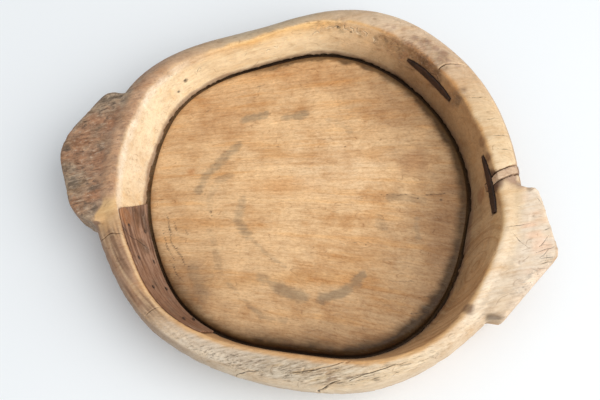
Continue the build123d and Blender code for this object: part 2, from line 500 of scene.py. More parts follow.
def wood(name, angle, bend=0, fan=0, wave=0.02, pith=(0, -0.25), clouds=0.5, streaks=0.5, fibres=0.45,
         rings=0.4, ring_width=0.004, blotches=0.3, honey=0.3, scratches=0.2, grit=0.35,
         streak_size=(9, 190), rough=(0.45, 0.65), relief=0.4, place_name=None):
    """Old wood whose colour is painted on the piece, with grain, rings, scratches and pores over it."""
    nodes = Nodes(name)
    place = nodes.place(place_name)
    grain = grain_space(nodes, place, angle, bend, fan, wave)
    dark = nodes.attribute("dark")
    grey = nodes.attribute("grey")
    mottle = nodes.attribute("mottle")

    cloud = nodes.noise(grain, (11, 34, 34), 5, 0.62)
    streak = nodes.noise(grain, (streak_size[0], streak_size[1], streak_size[1]), 5, 0.65)
    fibre = nodes.noise(grain, (75, 520, 520), 4, 0.72)
    blotch = nodes.noise(place, 26, 7, 0.72)
    warm = nodes.noise(grain, (7, 75, 75), 4, 0.62, shift=13)
    grain_dust = nodes.noise(grain, (260, 460, 460), 3, 0.75, shift=2)
    ring = growth_rings(nodes, grain, pith, ring_width)
    ringed = nodes.product(nodes.remap(ring, 0.47, 0.62, 0, rings), nodes.attribute("ringed"))
    colour = nodes.attribute("tint", colour=True)
    colour = nodes.tone(colour, cloud, 0.2, clouds, (0.8, 0.66, 0.5), (1.1, 1.09, 1.06))
    colour = nodes.tone(colour, streak, 0.22, streaks, (0.78, 0.65, 0.5), (1.1, 1.08, 1.04))
    colour = nodes.mix(ringed, colour, (0.62, 0.46, 0.31), "MULTIPLY")
    colour = nodes.tone(colour, fibre, 0.2, fibres, (0.7, 0.58, 0.46), (1.14, 1.13, 1.1))
    colour = nodes.tone(colour, blotch, 0.18, blotches, (0.76, 0.62, 0.47), (1.12, 1.1, 1.07))
    colour = nodes.mix(nodes.remap(warm, 0.53, 0.68, 0, honey), colour, (1.02, 0.84, 0.58), "MULTIPLY")
    colour = nodes.tone(colour, grain_dust, 0.18, grit, (0.72, 0.61, 0.5), (1.17, 1.16, 1.14))

    # Stains that have soaked in.
    soaked = nodes.attribute("stain")
    soak = nodes.swayed(nodes.swayed(soaked, blotch, 1.5), streak, 1.4)
    soak = nodes.product(nodes.remap(soak, 0.05, 0.8, 0, 0.55), nodes.remap(soaked, 0, 0.2, smooth=True))
    colour = nodes.mix(soak, colour, (0.205, 0.155, 0.098))

    # The mottled skin of the handles: rust brown, near black and pale flecks.
    patches = nodes.noise(place, 48, 6, 0.68)
    flecks = nodes.noise(grain, (120, 330, 330), 4, 0.7, shift=5)
    colour = nodes.flecked(colour, mottle, (
        (patches, 0.5, 0.62, 0.6, (0.31, 0.145, 0.075)), (patches, 0.47, 0.37, 0.7, (0.105, 0.078, 0.056)),
        (flecks, 0.55, 0.66, 0.7, (0.5, 0.38, 0.28)), (flecks, 0.44, 0.34, 0.7, (0.07, 0.05, 0.04)),
    ))
    curl = nodes.noise(grain, (95, 190, 190), 4, 0.72, shift=4)
    swirled = nodes.product(mottle, 0.8)
    colour = nodes.tone(colour, curl, 0.15, swirled, (0.58, 0.52, 0.46), (1.42, 1.38, 1.3))

    # Opened grain: dark furrows between bleached fibres.
    furrows = nodes.noise(grain, (60, 520, 520), 4, 0.7, shift=9)
    colour = nodes.flecked(colour, grey, (
        (furrows, 0.52, 0.64, 0.9, (0.175, 0.125, 0.085)), (furrows, 0.48, 0.34, 0.6, (0.8, 0.7, 0.56)),
    ))

    light_lines = hair_lines(nodes, place, (34, 52, 40), 0.012, 1)
    dark_lines = hair_lines(nodes, grain, (24, 60, 60), 0.011, 7)
    colour = nodes.mix(nodes.product(light_lines, scratches), colour, (1.28, 1.25, 1.2), "MULTIPLY")
    colour = nodes.mix(nodes.product(dark_lines, scratches), colour, (0.45, 0.33, 0.24), "MULTIPLY")
    specks = nodes.remap(nodes.noise(place, 520, 1), 0.7, 0.77)
    colour = nodes.mix(nodes.product(specks, nodes.math("ADD", mottle, 0.2)), colour, (0.16, 0.1, 0.065))

    # Dark marks and painted shade, from the dark attribute.
    edge = nodes.swayed(dark, flecks, 0.9)
    dark_marks_and_shade = nodes.product(nodes.remap(edge, 0.1, 0.8, smooth=True), nodes.remap(dark, 0, 0.15))
    colour = nodes.mix(dark_marks_and_shade, colour, (0.036, 0.021, 0.013))
    nodes.set(nodes.shader.inputs["Base Color"], colour)

    gloss = nodes.math("ADD", nodes.product(streak, 0.6), nodes.product(fibre, 0.4))
    roughness = nodes.remap(gloss, 0.3, 0.7, *rough)
    dull = nodes.product(nodes.math("ADD", dark, nodes.math("MAXIMUM", grey, mottle)), 0.8)
    nodes.set(nodes.shader.inputs["Roughness"], nodes.math("MAXIMUM", roughness, dull))
    nodes.shader.inputs["Specular IOR Level"].default_value = 0.35

    height = nodes.math("ADD", nodes.product(fibre, 0.35), nodes.product(streak, 0.5))
    height = nodes.math("SUBTRACT", height, nodes.product(furrows, grey, 1.6))
    height = nodes.math("SUBTRACT", height, nodes.product(dark_lines, 0.5))
    height = nodes.math("ADD", height, nodes.product(flecks, mottle, 0.9))
    nodes.bump(height, relief, 0.0011)
    return nodes.material


def iron(name, dark, rust):
    """Forged iron with a brown rust skin."""
    nodes = Nodes(name)
    place = nodes.add("TexCoord").outputs["Object"]
    scale = nodes.noise(place, 160, 5, 0.65)
    grit = nodes.noise(place, 900, 3)
    colour = nodes.mix(nodes.remap(scale, 0.35, 0.62), dark, rust)
    colour = nodes.mix(nodes.remap(grit, 0.55, 0.75, 0, 0.5), colour, (0.13, 0.066, 0.036))
    nodes.set(nodes.shader.inputs["Base Color"], colour)
    nodes.shader.inputs["Metallic"].default_value = 0.35
    nodes.set(nodes.shader.inputs["Roughness"], nodes.remap(scale, 0.3, 0.7, 0.45, 0.8))
    nodes.bump(nodes.math("ADD", scale, nodes.product(grit, 0.35)), 0.6, 0.0006)
    return nodes.material


# ---------------------------------------------------------------- the carved block

BODY_VOXEL = 2.45

# Splits in the block: line in plan, width, depth and lowest height in mm, and how dark.
SPLITS = [
    ([(115, 158), (127, 168), (136, 173), (154, 178)], 2.4, 3, 52, 0.8),
    ([(-175, -127), (-190, -130), (-198, -135), (-208, -141)], 1.8, 1.8, 52, 0.45),
    ([(-111, -195), (-119, -201), (-129, -209)], 1.3, 1.2, 52, 0.55),
    ([(-22, -246), (-8, -240), (5, -237)], 1.3, 1.2, 40, 0.8),
    ([(60, -246), (67, -240), (84, -228)], 2, 3, 40, 0.85),
    ([(92, -227), (104, -220), (121, -209), (143, -198)], 1.1, 1.6, 50, 0.9),
    ([(28, -237), (60, -223), (92, -204)], 1.2, 1.2, 50, 0.7),
]
# Fine checks and knife marks.
CHECKS = [
    [(157, 127), (170, 131), (184, 138)], [(175, 102), (187, 106), (201, 113)],
    [(191, 83), (203, 88), (214, 94)], [(201, 70), (212, 72), (223, 76)],
    [(225, -25), (238, -18), (250, -13)], [(253, 21), (263, 12)], [(278, -30), (262, -37)],
    [(271, -21), (262, -37)], [(280, -44), (264, -51)], [(274, -35), (264, -51)], [(277, -58), (261, -63)],
    [(279, -33), (259, -45)], [(281, -50), (262, -58)], [(272, -12), (264, -18)], [(232, -30), (249, -40)],
    [(-90, 168), (-80, 166), (-70, 161)],
]
# The slip's joints, the cramps and a shallow groove, in plan.
SLIP_LINES = [[(199, 35), (208, 44), (228, 50)], [(210, 29), (231, 41)]]
CRAMP_LINES = [[(80, 181), (140, 128)], [(184, 66), (211, -8)]]
GROOVE = [(-186, -128), (-178, -138), (-157, -163), (-134, -185), (-114, -196)]

# Knocks: x, y, half length, half width, angle and depth, mm.
KNOCKS = [
    (195, -125, 7, 4, 30, 1.4), (243, 29, 7, 5, 60, 0.6), (-270, -23, 6, 3, 60, 1.2),
    (-281, -70, 5, 2, 0, 2), (-259, -63, 12, 1.6, 10, 0.8), (40, -231, 6, 1.8, 10, 1.6),
    (46, -226, 4, 1.5, 70, 1.2), (53, -226, 5, 1.5, 40, 1.2), (88, -206, 6, 2, 60, 1.5),
    (62, -232, 14, 2.2, 25, 1.6), (75, -222, 10, 1.5, 30, 1.2), (20, -228, 12, 1.6, 20, 1),
    (-6, -226, 9, 1.4, 15, 0.8), (-35, -222, 12, 1.6, 25, 0.8), (110, -222, 12, 1.4, 30, 0.8),
]

# 8-bit sRGB colours round the axis: the rim's outer and inner bands, the inner wall and the outside.
RIM_OUTER = [
    (0, 228, 203, 168), (20, 225, 198, 160), (33, 222, 193, 154), (48, 205, 174, 140), (60, 210, 182, 152),
    (75, 219, 193, 163), (90, 198, 170, 138), (104, 176, 156, 130), (126, 184, 166, 140),
    (145, 192, 166, 134), (160, 172, 142, 114), (200, 158, 126, 100), (207, 222, 184, 132),
    (212, 206, 164, 118), (219, 178, 142, 113), (236, 180, 144, 115), (240, 214, 186, 154),
    (244, 230, 208, 182), (253, 226, 209, 187), (262, 208, 191, 169), (272, 194, 179, 158),
    (290, 206, 189, 164), (307, 226, 203, 170), (328, 232, 213, 187), (338, 232, 213, 188),
]
RIM_INNER = [
    (0, 226, 190, 138), (20, 216, 172, 118), (38, 212, 168, 114), (54, 190, 136, 84), (76, 204, 154, 98),
    (95, 228, 184, 120), (126, 236, 190, 124), (150, 232, 200, 150), (180, 226, 204, 168),
    (204, 226, 190, 140), (215, 172, 132, 100), (226, 180, 134, 98), (238, 206, 166, 120),
    (255, 208, 166, 116), (272, 202, 158, 108), (290, 206, 158, 104), (312, 216, 172, 118),
    (335, 226, 188, 138),
]
WALL = [
    (0, 194, 160, 120), (31, 188, 151, 110), (62, 174, 138, 100), (82, 236, 203, 160), (100, 252, 228, 188),
    (142, 251, 230, 192), (190, 245, 224, 192), (204, 240, 212, 172), (214, 184, 144, 108),
    (260, 200, 160, 116), (310, 204, 166, 124), (340, 192, 156, 116),
]
OUTSIDE = [
    (0, 176, 144, 112), (60, 172, 140, 108), (120, 164, 134, 104), (180, 140, 110, 86), (225, 150, 118, 92),
    (262, 186, 168, 146), (290, 196, 174, 146), (320, 196, 166, 132),
]
# Painted shade in the crevice between floor and wall: how dark it is, by angle.
CREVICE_SHADE = [
    (0, 0.28), (45, 0.4), (70, 0.9), (125, 0.9), (150, 0.4), (175, 0.25), (205, 0.25), (225, 0.7), (240, 1),
    (300, 1), (328, 0.35),
]
# Blackish patches: x, y, z and radius in mm, and strength.
SOOTY_PLACES = [
    (52, 198, 66, 24, 0.6), (84, 184, 64, 26, 0.7), (112, 165, 67, 22, 0.7), (150, 133, 66, 16, 0.5),
    (60, 190, 52, 16, 0.4), (-32, 196, 66, 14, 0.45), (-4, 204, 66, 16, 0.5), (20, 203, 64, 14, 0.4),
    (-163, 112, 52, 14, 0.4), (-185, 84, 66, 9, 0.35), (-196, -86, 40, 12, 0.3), (-190, -96, 60, 12, 0.3),
]

# Stains on the block: x, y, z, radius, strength and colour.
MAUVE = (150, 112, 96)
STAINS_ON_BLOCK = [
    (49, 208, 77, 4, 0.4, MAUVE), (57, 207, 77, 5, 0.45, MAUVE), (70, 207, 77, 5, 0.4, MAUVE),
    (80, 188, 77, 4, 0.4, MAUVE), (84, 197, 77, 6, 0.5, MAUVE), (92, 190, 77, 5, 0.5, MAUVE),
    (97, 185, 77, 4, 0.45, MAUVE), (101, 195, 77, 5, 0.5, MAUVE), (112, 189, 76, 5, 0.5, MAUVE),
    (122, 184, 76, 6, 0.5, MAUVE), (119, 175, 76, 5, 0.5, MAUVE), (129, 173, 75, 6, 0.55, MAUVE),
    (141, 172, 75, 6, 0.5, MAUVE), (77, -231, 76, 9, 0.6, (132, 104, 80)),
    (222, 38, 75, 13, 0.75, (158, 124, 106)), (232, 33, 72, 9, 0.6, (150, 118, 102)),
    (208, 28, 75, 8, 0.5, (170, 132, 108)), (204, 30, 68, 15, 0.85, (86, 60, 48)),
    (212, 33, 64, 13, 0.85, (96, 66, 54)), (199, 40, 62, 12, 0.6, (92, 64, 46)),
    (206, 24, 52, 12, 0.45, (120, 84, 62)), (194, 24, 46, 13, 0.5, (140, 92, 64)),
    (187, 78, 70, 9, 0.5, (120, 80, 52)), (196, 60, 70, 9, 0.6, (104, 66, 44)),
    (198, -126, 75, 10, 0.8, (104, 72, 50)), (226, -126, 66, 10, 0.6, (108, 90, 66)),
    (244, 29, 74, 4, 0.5, (110, 84, 66)), (100, 165, 60, 10, 0.35, (110, 78, 54)),
    (101, 167, 70, 13, 0.7, (104, 74, 50)), (114, 156, 66, 10, 0.6, (112, 80, 56)),
    (-122, -205, 76, 9, 0.45, (150, 112, 84)), (-190, -131, 76, 9, 0.45, (118, 88, 66)),
    (-203, -137, 74, 8, 0.5, (104, 78, 60)), (-158, -124, 60, 5, 0.3, (120, 88, 66)),
    (244, -112, 72, 9, 0.3, (168, 152, 134)), (256, -92, 72, 9, 0.3, (168, 152, 134)),
    (230, -126, 70, 9, 0.4, (160, 144, 128)),
]
# Pits: x, y, z and radius, mm.
WALL_PITS = [
    (-163, 110, 50, 2.6), (-168, 104, 56, 2), (-175, 92, 50, 3), (-182, 79, 42, 2.2), (-150, 128, 58, 1.8),
    (-120, 140, 40, 1.8), (-196, -60, 45, 2.2), (-198, -40, 60, 1.5), (-60, 178, 48, 1.8), (-30, 190, 62, 2),
    (-10, 199, 66, 2.2), (6, 199, 62, 1.8), (30, 199, 58, 2.2), (60, 186, 50, 2.4), (183, 46, 60, 2.6),
]

# Worm tracks in the far wall: degrees round the axis and height in mm.
WORM_TRACKS = [
    [(97.5, 64), (96, 67), (94.6, 65), (93.2, 68), (92, 66)], [(90.8, 72), (90.6, 66), (89.2, 65)],
    [(89, 69), (87.6, 67), (87.4, 62)], [(86.2, 71), (85.9, 64), (84.8, 62)],
    [(84, 68), (82.4, 66), (82.6, 61)], [(101.5, 58), (100.2, 60), (99.4, 57)],
    [(80.2, 64), (79, 61), (79.4, 57)], [(120.4, 47), (119.2, 50), (118.4, 47)],
    [(117, 52), (115.8, 49), (115.2, 51)], [(147.5, 52), (146.4, 57), (145.6, 54)],
]
# Cracks in the wall beside the upper cramp, placed in the same way.
WALL_CRACKS = [[(59.5, 60), (57.5, 64), (55, 63), (53, 67)], [(53, 67), (51, 63), (48.5, 59)]]
MM_PER_DEGREE = 3.5

# The right lug's edges, which hands have worn.
LUG_TIP = [(261, 32), (279, -14), (284, -42), (278, -61)]
LUG_BORDER = [(277, -53), (253, -91), (229, -125)]


def unrolled(points):
    """The points with their angle round the axis, as a length, first and their height second."""
    return np.stack((MM_PER_DEGREE * angle_of(points), points[:, 2], reach_of(points)), axis=1)


def track_line(track):
    return [(MM_PER_DEGREE * angle, height) for angle, height in track]


def near_tracks(points):
    lines = [track_line(track) for track in WORM_TRACKS + WALL_CRACKS]
    return near_lines(unrolled(points), lines, 3.5, 150) & (points[:, 2] > 40)


def near_lines(points, lines, reach, low):
    """Which points are within reach of the lines in plan and above a height."""
    found = np.zeros(len(points), bool)
    for line in lines:
        found |= (line_distance(points, line)[0] < reach) & (points[:, 2] > low)
    return found


def near_cramps(points):
    return near_lines(points, CRAMP_LINES, 8, 44) & (points[:, 2] < 73)


def near_damage(points):
    lines = [split[0] for split in SPLITS] + CHECKS + SLIP_LINES
    return near_lines(points, lines, 5, 42) | near_cramps(points)


def near_rim(points):
    lower_left = (points[:, 0] < -90) & (points[:, 1] < -92) & (points[:, 2] > 66)
    return lower_left | (points[:, 1] < -172) & (points[:, 2] > 44)


def spot(points, place, radius, wobble):
    """1 at a place and 0 beyond a radius, with a ragged edge."""
    distance = np.linalg.norm(points - place, axis=1)
    return ramp(1 - distance / radius + wobble, 0, 0.5)


DEGREES_PER_BIN = 4


def edge_by_angle(surface, low, largest):
    """Radius of a surface's edge as a function of the angle: the smallest or largest above a height."""
    high = surface.co[surface.co[:, 2] > low]
    bins = (angle_of(high) / DEGREES_PER_BIN).astype(int)
    found = np.full(360 // DEGREES_PER_BIN, float(0 if largest else 1e9))
    (np.maximum if largest else np.minimum).at(found, bins, reach_of(high))
    middles = DEGREES_PER_BIN * (np.arange(len(found)) + 0.5)
    return lambda angle: np.interp(angle, middles, found, period=360)


def keep_in_box(surface):
    """Keeps a piece inside the CAD model's box."""
    low = np.array(CAD_BOX[0]) / MM - HOLLOW_AXIS
    high = np.array(CAD_BOX[1]) / MM - HOLLOW_AXIS
    surface.co = np.clip(surface.co, low, high)
    surface.write()


def make_body():
    block = remeshed("carved_body", "body", BODY_VOXEL)
    block.smooth(6)
    block.refine(lambda points: near_damage(points) | near_rim(points) | near_tracks(points))
    block.refine(lambda points: near_damage(points) | near_tracks(points))
    block.snap(tree_of("body"), near_cramps)

    co, normals = block.co, block.normals
    height = co[:, 2]
    radius, theta = reach_of(co), angle_of(co)
    from_edge = radius - edge_by_angle(block, 73, False)(theta)
    high = ramp(height, 58, 66)
    top = ramp(normals[:, 2], 0.35, 0.75) * high
    inner = ramp(6 - from_edge, 0, 4) * ramp(height, 16, 18) * (1 - top)
    outside = unit(1 - top - inner)
    right_lug = ramp(co[:, 0], 232, 246) * ramp(height, 45, 50) * ramp(60 - co[:, 1], 20, 30)
    left_lug = ramp(-co[:, 0], 232, 244) * ramp(height, 36, 40)
    plain = 1 - near_cramps(co)

    def around(*stops):
        return by_angle(theta, stops)

    # Handling has rounded the lugs and the rim.
    rounded = most(left_lug, 0.35 * right_lug * ramp(from_edge, 12, 24))
    block.wear(12, most(rounded, 0.12 * top) * plain)

    # Tool marks: broad adze cuts outside, gouge cuts inside, worn flat on the rim.
    hewn = outside * plain * ramp(66 - height, 0, 16) * (1 - right_lug)
    offset = cuts(block, hewn, 26, 0.9, 0.022, 11)
    offset += cuts(block, inner * plain * ramp(height, 26, 36), 17, 0.5, 0.015, 12)
    offset += cuts(block, top, 24, 0.5, 0.012, 13)
    grain = turned(co, GRAIN_ANGLE)
    offset += 0.5 * layered(grain, (0.01, 0.03, 0.03), 21) - 0.5
    offset -= 0.8 * left_lug * ramp(layered(co, 0.07, 22), 0, 0.6)

    # Weathering has opened the grain on the near rim.
    near_side = around(
        (236, 0), (246, 0.35), (254, 0.6), (264, 1), (298, 1), (318, 0.45), (345, 0.15), (10, 0),
    )
    weather = near_side * ramp(from_edge, 3, 14) * most(top, 0.25 * outside) * high
    offset -= 1.1 * weather * ramp(layered(grain, (0.05, 0.36, 0.36), 31), 0.05, 0.55)

    skin = most(top, outside)
    opened, frayed, tracks, banks = np.zeros((4, len(co)))
    for number, (line, width, depth, low, darkness) in enumerate(SPLITS):
        above = ramp(height, low - 4, low) * skin
        amount = crack(co, line, width, 1.6, 41 + number) * above
        offset -= depth * amount
        opened = most(opened, darkness * amount)
        frayed = most(frayed, darkness ** 2 * crack(co, line, 4.2 * width, 3, 61 + number) * above)
    for number, line in enumerate(CHECKS):
        amount = crack(co, line, 1.5, 1.2, 81 + number, 0.5) * skin * ramp(height, 55, 60)
        offset -= 0.4 * amount
        opened = most(opened, 0.65 * amount)
    wall_place = unrolled(co)
    for number, track in enumerate(WORM_TRACKS):
        line = track_line(track)
        tracks = most(tracks, crack(wall_place, line, 1.7, 1, 111 + number) * (1 - outside))
        banks = most(banks, crack(wall_place, line, 5, 1, 111 + number) * (1 - outside))
    for number, line in enumerate(WALL_CRACKS):
        amount = crack(wall_place, track_line(line), 1.5, 1, 125 + number) * (1 - outside)
        offset -= 0.6 * amount
        opened = most(opened, 0.7 * amount)
    offset -= 0.8 * tracks
    groove = crack(co, GROOVE, 2.4, 1.5, 97) * top
    offset -= 0.7 * groove
    knocks = dents(co, KNOCKS) * skin * ramp(height, 44, 50)
    offset -= knocks
    block.push(offset)

    # The wood's own colours.
    wobble = layered(co, 0.06, 51)
    band = around((60, 0), (90, -2.5), (130, -2.5), (150, 0), (200, 0), (250, 3), (300, 3.5), (340, 0))
    outer = ramp(from_edge + 4 * wobble - band, 1.5, 7)
    rim = blend(colours_by_angle(theta, RIM_INNER), colours_by_angle(theta, RIM_OUTER), outer)
    tint = rim * top[:, None] + colours_by_angle(theta, WALL) * inner[:, None]
    tint = (tint + colours_by_angle(theta, OUTSIDE) * outside[:, None]) / (top + inner + outside)[:, None]

    # Painted light that keeps the near shoulder chalky pale to its edge, a darker strip at the wall's foot,
    # painted shade low on the right wall, yellow high on the far wall, and a painted highlight high on the
    # far-left and left wall.
    near_shoulder_light = around((250, 0), (268, 0.7), (330, 0.7), (345, 0)) * outside * ramp(height, 46, 60)
    foot = inner * ramp(31 + 3 * wobble - height, 0, 4)
    shade = around((260, 0.1), (300, 0.3), (335, 0.32), (0, 0.3), (50, 0.42), (75, 0.3), (100, 0), (250, 0))
    honey = inner * around((88, 0), (98, 1), (142, 1), (152, 0)) * ramp(height + 6 * wobble, 56, 74)
    haze_highlight = inner * around((130, 0), (160, 1), (200, 1), (215, 0)) * ramp(height, 62, 72)

    # The dark skin of the left lug and of the rim beside it.
    ring_part = by_angle((theta + 3 * wobble) % 360, [(128, 0), (150, 0.5), (168, 1), (202, 1), (206, 0)])
    over_edge = ring_part * ramp(from_edge + 2 * wobble, -2, 4) * ramp(height, 62, 70)
    on_lug = ramp(5 * wobble - co[:, 0], 212, 217) * ramp(212 - theta, 0, 3) * ramp(theta, 135, 140)
    patina = most(over_edge, skin * on_lug, skin * ring_part * ramp(from_edge, 2, 8))
    rust = ramp(layered(grain, (0.02, 0.045, 0.045), 56), -0.35, 0.4)
    # Painted highlight along the rim's inner edge, from the far left round to the left.
    arris_highlight = around((126, 0), (138, 0.7), (200, 0.5), (206, 0)) * ramp(4 - np.abs(from_edge + 3), 0, 3)
    lug_tip = line_distance(co, LUG_TIP)[0]
    lug_border = line_distance(co, LUG_BORDER)[0]

    sooty = most(*[
        strength * spot(co, (x, y, z), size, 0.9 * wobble) for x, y, z, size, strength in SOOTY_PLACES
    ])
    lengthwise = np.stack((MM_PER_DEGREE * theta, radius, height), axis=1)
    worn = around((207, 0), (216, 1), (238, 1), (246, 0.3), (330, 0.2), (20, 0)) * top
    outer_shade = ramp(from_edge, 30, 40) * around((205, 0), (215, 0.35), (245, 0.25), (260, 0))

    tint = painted(tint, [
        # painted light on the near shoulder
        ((222, 202, 174), near_shoulder_light),
        ((231, 214, 193), right_lug * most(top, 0.6)),
        ((236, 190, 158), 0.5 * right_lug * top * ramp(layered(grain, (0.03, 0.08, 0.08), 52), 0.1, 0.6)),
        ((156, 122, 96), 0.75 * foot),
        ((78, 55, 36), inner * shade * ramp(56 + 6 * wobble - height, 0, 30)),
        ((246, 194, 112), 0.6 * honey),
        # painted highlight high on the far-left and left wall
        ((250, 238, 220), 0.6 * haze_highlight),
        ((184, 148, 118), patina),
        ((160, 140, 119), patina * ramp(from_edge, 12, 22)),
        ((160, 114, 84), 0.9 * patina * rust * ramp(from_edge - 12, 0, 12)),
        # painted highlight on the rim's inner edge
        ((255, 243, 222), arris_highlight * ramp(height, 62, 70)),
        ((198, 166, 132), 0.6 * right_lug * ramp(5 - lug_tip + 2 * wobble, 0, 3)),
    ] + [
        (colour, strength * spot(co, (x, y, z), size, 0.5 * wobble))
        for x, y, z, size, strength, colour in STAINS_ON_BLOCK
    ] + [
        ((126, 96, 68), 0.8 * sooty * ramp(theta, 95, 45)),
        ((120, 90, 68), 0.8 * worn * ramp(layered(lengthwise, (0.025, 0.24, 0.1), 57), -0.15, 0.35)),
        ((214, 182, 146), 0.7 * worn * ramp(layered(lengthwise, (0.025, 0.32, 0.1), 58), 0, 0.4)),
        ((226, 192, 148), 0.7 * worn * ramp(6 - np.abs(from_edge - 3 + wobble), 3, 5)),
        ((120, 92, 72), outer_shade),
        ((244, 220, 186), 0.6 * unit(frayed - 1.4 * opened)),
        ((226, 200, 160), 0.5 * unit(knocks) * weather),
        ((255, 236, 204), 0.9 * unit(banks - 1.2 * tracks)),
    ])
    # Painted shade in hollows and a painted highlight on ridges, from how the surface bends.
    tint = tint * (1 + np.clip(block.convexity(2) * 1.2, -0.3, 0.1))[:, None]

    # Painted shade at the wall's foot, deep in the crevice.
    crevice_shade = inner * by_angle(theta, CREVICE_SHADE) * ramp(22.6 + 1.5 * wobble - height, 0, 3)
    pits = [0.55 * spot(co, (x, y, z), size + 0.8, 1.2 * wobble) for x, y, z, size in WALL_PITS]
    # Rust stain and painted shade round the cramps.
    rust_and_shade = 0.85 * block.closeness(("iron_cramp_upper", "iron_cramp_lower"), near_cramps, 3.2)
    slip_edge = block.closeness(("rim_filler_slip",), near_damage, 1.5) * ramp(height, 68, 71)
    joint = 0.55 * slip_edge * ramp(wobble, -0.7, 0.2)
    dark = most(opened, 0.25 * groove, 0.5 * tracks, crevice_shade, *pits, rust_and_shade, joint)
    arcs = around((295, 0.15), (315, 1), (350, 1), (5, 0.3), (30, 0.1), (60, 0.3), (90, 0.1))
    far_right = around((40, 0), (56, 0.2), (80, 0.14), (110, 0.12), (125, 0.2), (150, 0)) * top
    speckled = 0.5 * ramp(layered(co, 0.16, 59), -0.3, 0.3) * ramp(15 - lug_border, 0, 8) * right_lug * top
    smoother = 0.55 + 0.45 * ramp(from_edge, 16, 30)
    block.paint(
        tint=unit(tint), dark=dark, grey=weather, ringed=arcs * (0.15 + 0.85 * inner),
        mottle=most(patina * smoother, far_right, sooty, speckled),
    )
    keep_in_box(block)
    hand_over(block, BLOCK_WOOD, "carved_block", "body")


# ---------------------------------------------------------------- the floor board

BOARD_VOXEL = 1.7
BOARD_TOP = 26.6                           # mm
# Broad changes of colour: x, y, half length, half width, angle, strength and colour.
FLOOR_ZONES = [
    (-30, -8, 62, 16, 16, 0.5, (216, 158, 96)), (116, 58, 36, 22, 20, 0.65, (170, 122, 80)),
    (24, 34, 80, 48, 10, 0.6, (238, 206, 166)), (-101, -150, 46, 30, -30, 0.6, (152, 112, 74)),
    (165, -20, 34, 120, 0, 0.5, (168, 126, 86)), (60, -185, 120, 34, 8, 0.5, (160, 124, 86)),
    (-120, 60, 60, 50, 50, 0.35, (204, 154, 104)), (30, -112, 110, 12, 14, 0.4, (226, 172, 104)),
    (-40, 150, 90, 26, 10, 0.5, (200, 150, 98)), (60, 130, 70, 34, -10, 0.4, (190, 144, 98)),
    (-140, -16, 7, 6, 0, 0.6, (206, 142, 82)), (-60, -140, 60, 9, 12, 0.35, (214, 164, 104)),
]
# Painted shade on the floor towards the wall: strength by angle.
FLOOR_SHADE = [
    (0, 0.62), (60, 0.38), (95, 0.2), (150, 0.2), (200, 0.22), (235, 0.26), (270, 0.26), (320, 0.48),
]
# Dirt and painted shade along the wall, by angle: its strength, how far in it reaches in mm, and how soon it
# is full.
WALL_DIRT_AND_SHADE = [
    (0, 0.84), (15, 0.88), (35, 0.95), (60, 0.85), (75, 0.8), (112, 0.8), (130, 0.5), (150, 0.3),
    (190, 0.25), (215, 0.45), (240, 0.85), (270, 1), (300, 1), (330, 0.97),
]
WALL_DIRT_AND_SHADE_REACH = [
    (0, 16), (20, 17), (35, 17), (60, 13), (80, 9), (112, 9), (160, 7), (205, 8), (235, 16), (270, 20),
    (300, 19), (318, 16), (335, 17),
]
WALL_DIRT_AND_SHADE_GAIN = [(0, 1.5), (35, 1.8), (60, 1.5), (80, 2), (112, 2), (130, 1), (290, 1), (312, 1.5), (335, 1.7)]
# How much of the worn edge is filled up level with the floor, by angle.
BEVEL_LIFT = [
    (0, 0.9), (40, 0.7), (60, 0.35), (110, 0.15), (150, 0.7), (205, 0.85), (225, 0.4), (245, 0), (310, 0),
    (335, 0.8),
]
# Grey stains left by a pot's foot: line in plan, half width and strength.
FLOOR_STAINS = [
    ([(-97, 68), (-85, 74), (-74, 80)], 7, 0.9), ([(-49, 82), (-36, 87), (-27, 93)], 6.5, 0.7),
    ([(2, 92), (20, 89), (32, 82)], 6, 0.3), ([(-95, 32), (-109, 8), (-122, -19), (-124, -37)], 6.5, 0.65),
    ([(-93, -9), (-106, -22), (-109, -41), (-103, -61), (-99, -83), (-84, -105), (-73, -127)], 6, 0.28),
    ([(-71, -36), (-71, -63), (-54, -79)], 7, 0.5), ([(-54, -79), (-29, -95), (-3, -107)], 3.5, 0.4),
    ([(-25, -126), (3, -133), (24, -137)], 9, 0.7), ([(45, -133), (65, -121), (83, -98)], 8, 1),
    ([(-60, -140), (-37, -155), (-14, -169), (11, -167)], 4, 0.4), ([(131, -16), (136, -36)], 5, 0.4),
    ([(88, -24), (94, -34)], 8, 0.3), ([(95, 6), (134, 12)], 6, 0.4), ([(-104, -132), (-82, -162)], 9, 0.35),
]
# Fine checks in the board, in plan.
FLOOR_CHECKS = [
    [(83, 6), (117, 14), (176, 30)], [(145, -108), (174, -100)], [(140, -129), (164, -121)],
    [(-104, -56), (-102, -64), (-100, -67)],
]
# Curved scratches beside the wall, and the brown dirt in them.
FLOOR_SCRATCHES = [
    ([(-152, -92), (-140, -112), (-122, -132)], 0.6), ([(-146, -90), (-136, -106), (-121, -122)], 0.6),
    ([(-154, -70), (-146, -86), (-134, -102)], 0.55), ([(-133, -128), (-119, -143), (-106, -153)], 0.65),
    ([(-141, -82), (-131, -97)], 0.6), ([(-128, -112), (-114, -128), (-108, -131)], 0.65),
    ([(-126, -88), (-118, -94)], 0.6), ([(-150, 60), (-138, 78)], 0.4), ([(-100, 112), (-84, 122)], 0.4),
    ([(60, -60), (84, -57)], 0.35), ([(-20, 20), (14, 24)], 0.35), ([(20, -30), (46, -26)], 0.35),
    ([(-60, 40), (-36, 42)], 0.35), ([(110, -96), (142, -90)], 0.4),
]
# Dark specks: x, y and radius, mm.
FLOOR_SPOTS = [
    (154, 16, 3.2), (-103, -60, 2.2), (127, 12, 1.8), (-116, -40, 1.5), (30, 60, 1.4), (80, -60, 1.5),
]


